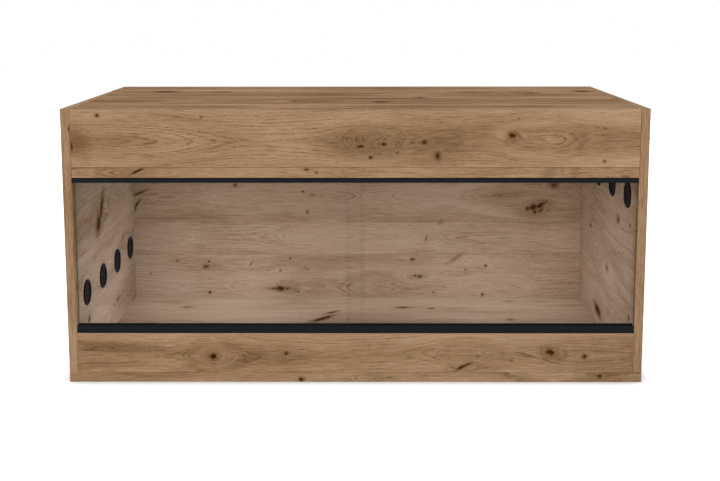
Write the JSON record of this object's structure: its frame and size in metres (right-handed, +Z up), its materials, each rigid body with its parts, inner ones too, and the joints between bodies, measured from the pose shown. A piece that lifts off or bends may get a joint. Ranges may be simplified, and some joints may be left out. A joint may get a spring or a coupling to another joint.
{
  "type": "terrarium cabinet",
  "caption": "Low wide terrarium cabinet of wood-decor boards, with two sliding glass doors in black tracks and a row of round vents in each side wall.",
  "frame": {"origin": "middle of the cabinet's underside, on the surface it stands on", "axes": "+X to the cabinet's right as seen from the front, along its width; +Y from the glass doors to the back panel; +Z up"},
  "size_m": [1.006, 0.5, 0.48],
  "materials": {
    "oak_board": "melamine-faced chipboard in a knotty oak decor, fine matt texture",
    "oak_edge_band": "plastic edge banding printed in the same oak decor, matt",
    "track_plastic": "extruded black plastic, satin",
    "mounting_tape": "thin double-sided acrylic foam tape",
    "door_glass": "clear float glass with polished edges",
    "zinc_steel": "zinc-plated steel",
    "cap_plastic": "moulded plastic in the decor's colour",
    "beech_dowel": "plain beech",
    "vent_plastic": "injection-moulded black plastic, low sheen"
  },
  "bodies": {
    "cabinet": {"bottom_board": "oak_board", "left_side_board": "oak_board", "right_side_board": "oak_board", "top_board": "oak_board", "back_panel": "oak_board", "upper_front_panel": "oak_board", "header_rail": "oak_board", "lower_front_panel": "oak_board", "bottom_edge_bands": "oak_edge_band", "left_side_edge_bands": "oak_edge_band", "right_side_edge_bands": "oak_edge_band", "header_edge_band": "oak_edge_band", "upper_panel_edge_band": "oak_edge_band", "lower_track": "track_plastic", "upper_track": "track_plastic", "lower_track_tape": "mounting_tape", "upper_track_tape": "mounting_tape", "side_screws": "zinc_steel", "bottom_screws": "zinc_steel", "cover_caps": "cap_plastic", "wood_dowels": "beech_dowel", "left_vent_inner_1": "vent_plastic", "left_vent_inner_2": "vent_plastic", "left_vent_inner_3": "vent_plastic", "left_vent_inner_4": "vent_plastic", "left_vent_outer_1": "vent_plastic", "left_vent_outer_2": "vent_plastic", "left_vent_outer_3": "vent_plastic", "left_vent_outer_4": "vent_plastic", "right_vent_inner_1": "vent_plastic", "right_vent_inner_2": "vent_plastic", "right_vent_inner_3": "vent_plastic", "right_vent_inner_4": "vent_plastic", "right_vent_outer_1": "vent_plastic", "right_vent_outer_2": "vent_plastic", "right_vent_outer_3": "vent_plastic", "right_vent_outer_4": "vent_plastic"},
    "left_door": {"left_door_glass": "door_glass"},
    "right_door": {"right_door_glass": "door_glass"}
  },
  "joints": [
    {"name": "left_door_slide", "type": "slide", "parent": "cabinet", "child": "left_door", "axis": [1, 0, 0], "range_m": [0, 0.468]},
    {"name": "right_door_slide", "type": "slide", "parent": "cabinet", "child": "right_door", "axis": [-1, 0, 0], "range_m": [0, 0.468]}
  ]
}
